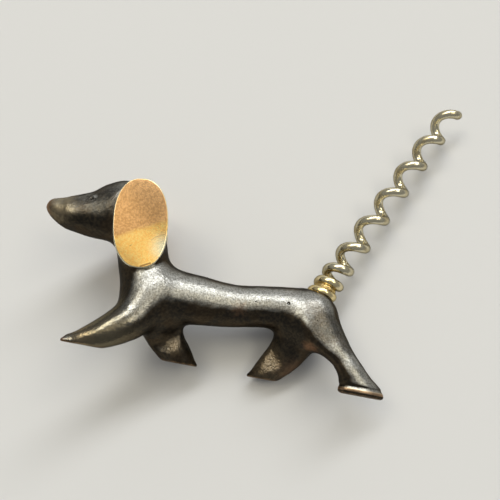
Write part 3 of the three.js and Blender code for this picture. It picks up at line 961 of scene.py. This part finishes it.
def flatten(shape, point, facing, reach):
    """Cuts the skin along a plane, near a point, and presses what stands proud of it flat."""
    near = [face for face in shape.faces if (face.calc_center_median() - point).length < reach]
    geometry = with_outlines(near)
    bmesh.ops.bisect_plane(shape, geom=geometry, dist=MERGE, plane_co=point, plane_no=facing)
    for vert in shape.verts:
        proud = (vert.co - point).dot(facing)
        if proud > 0 and (vert.co - point).length < reach and vert.co.z > MERGE:
            vert.co -= facing * proud


def even_mesh(shape):
    """The same solid as small even quads, so that it smooths and shines without seams."""
    bmesh.ops.join_triangles(
        shape,
        faces=shape.faces,
        angle_face_threshold=radians(JOIN_DEGREES),
        angle_shape_threshold=radians(JOIN_SKEW_DEGREES),
    )
    crease_soles(shape)
    mesh = bpy.data.meshes.new("rough_cast")
    shape.to_mesh(mesh)
    shape.free()
    rough = bpy.data.objects.new("rough_cast", mesh)
    bpy.context.scene.collection.objects.link(rough)
    subdivide(rough, CAST_LEVELS)
    remesh = rough.modifiers.new("even", "REMESH")
    remesh.mode = "VOXEL"
    remesh.voxel_size = EVEN_MESH
    evaluated = rough.evaluated_get(bpy.context.evaluated_depsgraph_get())
    done = bpy.data.meshes.new_from_object(evaluated)
    bpy.data.objects.remove(rough)
    bpy.data.meshes.remove(mesh)
    even = bmesh.new()
    even.from_mesh(done)
    bpy.data.meshes.remove(done)
    return even


def crease_soles(shape):
    """Keeps the sharp edges of the soles crisp when the shape is subdivided."""
    crease = shape.edges.layers.float.new("crease_edge")
    for edge in shape.edges:
        on_sole = all(vert.co.z < NEAR for vert in edge.verts)
        if len(edge.link_faces) == 2 and on_sole and edge.calc_face_angle() > radians(SHARP_DEGREES):
            edge[crease] = RIM_CREASE


def smooth_skin(shape):
    """Smooths all but the soles, the nose most, and keeps the feet above the ground."""
    skin = [v for v in shape.verts if v.co.z > SOLE_CLEAR]
    nose = [v for v in skin if v.co.x < NOSE_FROM]
    axes = {"use_axis_x": True, "use_axis_y": True, "use_axis_z": True}
    for verts, times in ((skin, SKIN_SMOOTHING), (nose, NOSE_SMOOTHING)):
        for _ in range(times):
            bmesh.ops.smooth_vert(shape, verts=verts, factor=SMOOTH_SHARE, **axes)
    for vert in shape.verts:
        vert.co.z = max(0, vert.co.z)


def hoof_groove(shape):
    """A shallow groove round the near hind foot, over the bead of its rim."""
    near = [edge for edge in shape.edges if all(by_groove(vert) for vert in edge.verts)]
    bmesh.ops.subdivide_edges(shape, edges=near, cuts=1, use_grid_fill=True, smooth=CUT_SMOOTHING)
    shape.normal_update()
    ring = [vert for vert in shape.verts if by_groove(vert)]
    for vert in ring:
        off = (vert.co.z - GROOVE_HEIGHT) / GROOVE_WIDTH
        outwards = Vector((vert.normal.x, vert.normal.y, 0))
        vert.co -= outwards * GROOVE_DEPTH * exp(-off * off)


def by_groove(vert):
    low, high = GROOVE_HEIGHT - GROOVE_REACH, GROOVE_HEIGHT + GROOVE_REACH
    return vert.co.x > HOOF_FROM and low < vert.co.z < high


def dimple(shape, middle, radius, depth):
    """A punched dimple with a slight lip, in a patch of finer skin."""
    fine = radius * FINE_SHARE
    near = [e for e in shape.edges if all((v.co - middle).length < fine for v in e.verts)]
    bmesh.ops.subdivide_edges(
        shape, edges=near, cuts=DIMPLE_CUTS, use_grid_fill=True, smooth=CUT_SMOOTHING
    )
    shape.normal_update()
    reached = [v for v in shape.verts if (v.co - middle).length < radius * REACH_SHARE]
    patch = [(v, (v.co - middle).length / radius, v.normal.copy()) for v in reached]
    for vert, off, normal in patch:
        pit = depth * max(0, 1 - off * off) ** DIMPLE_POWER
        lip = DIMPLE_LIP * exp(-((off - LIP_SHARE) / LIP_WIDTH_SHARE) ** 2)
        vert.co += normal * (lip - pit)


# The smaller pieces


def eye_lid(name, side, material):
    """A raised crescent over the upper and rear edge of an eye's dimple."""
    shape = bmesh.new()
    ring = bmesh.ops.create_circle(shape, segments=LID_SIDES, radius=LID_THICKNESS)["verts"]
    bmesh.ops.rotate(shape, verts=ring, matrix=Matrix.Rotation(radians(90), 3, "X"))
    bmesh.ops.translate(shape, verts=ring, vec=(LID_RADIUS, 0, 0))
    edges = list(dict.fromkeys(edge for vert in ring for edge in vert.link_edges))
    turned(shape, ring + edges, LID_DEGREES, LID_STEPS, False)
    turn = EYE_FACING.to_track_quat("Z", "Y").to_matrix().to_4x4()
    proud = Vector(LEFT_EYE) * MM + EYE_FACING.normalized() * LID_RISE
    turn = Matrix.Translation(proud) @ turn @ Matrix.Rotation(radians(LID_TURN), 4, "Z")
    bmesh.ops.transform(shape, matrix=turn, verts=shape.verts)
    if side > 0:
        bmesh.ops.scale(shape, vec=(1, -1, 1), verts=shape.verts)
        bmesh.ops.reverse_faces(shape, faces=shape.faces)
    made = piece(name, shape, material)
    subdivide(made, LID_LEVELS)


def turned(shape, outline, degrees, steps, merge):
    """Spins an outline round the z axis and closes what stays open."""
    bmesh.ops.spin(
        shape,
        geom=outline,
        cent=(0, 0, 0),
        axis=UPWARDS,
        angle=radians(degrees),
        steps=steps,
        use_merge=merge,
    )
    bmesh.ops.holes_fill(shape, edges=open_edges(shape), sides=0)
    bmesh.ops.recalc_face_normals(shape, faces=shape.faces)


def ear_plate(side, material):
    """The CAD plate with its edges slightly rounded."""
    node = "ear_plate_" + side
    shape = merged_copy(node)
    limit = radians(FLAT_DEGREES)
    bmesh.ops.dissolve_limit(shape, angle_limit=limit, verts=shape.verts, edges=shape.edges)
    made = piece("ear_face_" + side, shape, material, [node])
    rounding = made.modifiers.new("rounded_edge", "BEVEL")
    rounding.width = EAR_ROUNDING
    rounding.segments = EAR_ROUNDING_STEPS
    rounding.angle_limit = radians(EAR_CORNER_DEGREES)
    rounding.harden_normals = True


def worm(material):
    """The CAD worm, rounder, and wider towards its foot."""
    shape = merged_copy("worm")
    to_tail = TAIL.inverted()
    limit = Vector(cad_box[1]) - WORM_CLEAR
    for vert in shape.verts:
        local = to_tail @ vert.co
        narrowed = (WIDE_TO - local.z) / (WIDE_TO - WIDE_FROM)
        spread = WIDE_START * max(0, min(1, narrowed))
        outwards = Vector((local.x, local.y, 0)).normalized()
        vert.co = TAIL @ (local + outwards * spread)
        vert.co.x = min(vert.co.x, limit.x)
        vert.co.z = min(vert.co.z, limit.z)
    made = piece("wire_worm", shape, material, ["worm"])
    subdivide(made, WIRE_LEVELS)
    thicker = made.modifiers.new("full_gauge", "DISPLACE")
    thicker.strength = WIRE_THICKENED
    thicker.mid_level = 0


def braze(material):
    """A turned fillet round the foot of the worm, with lumps as it froze."""
    shape = bmesh.new()
    verts = [shape.verts.new((radius * MM, 0, height * MM)) for radius, height in BRAZE_OUTLINE]
    edges = [shape.edges.new(pair) for pair in zip(verts, verts[1:])]
    turned(shape, verts + edges, FULL_TURN, BRAZE_STEPS, True)
    bmesh.ops.transform(shape, matrix=TAIL, verts=shape.verts)
    made = piece("braze_fillet", shape, material, ["braze_collar"])
    subdivide(made, BRAZE_LEVELS)
    displace(made, "frozen_lumps", BRAZE_LUMP_SIZE, BRAZE_LUMPS)


def dress(node, material):
    """Gives a CAD node that stays as it is a finish."""
    nodes[node].data.materials.clear()
    nodes[node].data.materials.append(material)


# Stage, lights and camera


def plane(name, point, normal, material, reflects):
    """A round piece of stage that throws no light or shadow, and may show in reflections."""
    shape = bmesh.new()
    bmesh.ops.create_circle(shape, cap_ends=True, segments=STAGE_SIDES, radius=STAGE_RADIUS)
    turn = normal.to_track_quat("Z", "Y").to_matrix().to_4x4()
    bmesh.ops.transform(shape, matrix=Matrix.Translation(point) @ turn, verts=shape.verts)
    mesh = bpy.data.meshes.new(name)
    shape.to_mesh(mesh)
    shape.free()
    mesh.materials.append(material)
    made = bpy.data.objects.new(name, mesh)
    bpy.context.scene.collection.objects.link(made)
    made.visible_shadow = False
    made.visible_diffuse = False
    made.visible_glossy = reflects


def light(name, azimuth, elevation, spread, radiance, colour, roll):
    """A rectangular lamp that shines at the object."""
    lamp = bpy.data.lights.new(name, "AREA")
    lamp.shape = "RECTANGLE"
    lamp.size, lamp.size_y = (share * LAMP_DISTANCE for share in spread)
    lamp.energy = radiance * pi * lamp.size * lamp.size_y
    lamp.color = colour
    made = bpy.data.objects.new(name, lamp)
    bpy.context.scene.collection.objects.link(made)
    side, height = radians(azimuth), radians(elevation)
    toward = Vector((sin(side) * cos(height), -cos(side) * cos(height), sin(height)))
    turn = toward.to_track_quat("Z", "Y").to_matrix().to_4x4() @ Matrix.Rotation(radians(roll), 4, "Z")
    made.matrix_world = Matrix.Translation(AIM + toward * LAMP_DISTANCE) @ turn


def camera():
    data = bpy.data.cameras.new("camera")
    data.lens = CAMERA_LENS
    data.sensor_width = CAMERA_SENSOR
    data.clip_start = CAMERA_NEAR
    made = bpy.data.objects.new("camera", data)
    bpy.context.scene.collection.objects.link(made)
    heading = Matrix.Rotation(radians(-CAMERA_AZIMUTH), 4, "Z")
    rise = Matrix.Rotation(radians(90 + CAMERA_ELEVATION), 4, "X")
    roll = Matrix.Rotation(radians(CAMERA_ROLL), 4, "Z")
    made.matrix_world = Matrix.Translation(CAMERA_PLACE) @ heading @ rise @ roll
    bpy.context.scene.camera = made


def world():
    made = bpy.data.worlds.new("studio")
    made.use_nodes = True
    background = made.node_tree.nodes["Background"]
    background.inputs["Color"].default_value = WORLD_COLOUR
    background.inputs["Strength"].default_value = WORLD_LEVEL
    bpy.context.scene.world = made


bpy.context.scene.view_settings.view_transform = "Standard"
patina = patina_material()
copper = ear_material()
brass = braze_material()
steel = wire_material()

casting(patina)
eye_lid("eye_lid_left", -1, patina)
eye_lid("eye_lid_right", 1, patina)
ear_plate("left", copper)
ear_plate("right", copper)
worm(steel)
braze(brass)
dress("tail_stud", brass)
dress("ear_cross_pin", brass)

# The dog lies on the corner of its casting that reaches furthest against that surface's normal
stage = stage_material()
cast_corners = (vert.co for vert in nodes["body_casting"].data.vertices)
lying_on = min(cast_corners, key=LYING_NORMAL.dot).copy()
plane("floor_lying", lying_on, LYING_NORMAL, stage, True)
plane("floor_standing", Vector((0, 0, 0)), UPWARDS, stage, False)

for lamp_values in LAMPS:
    light(*lamp_values)
world()
camera()
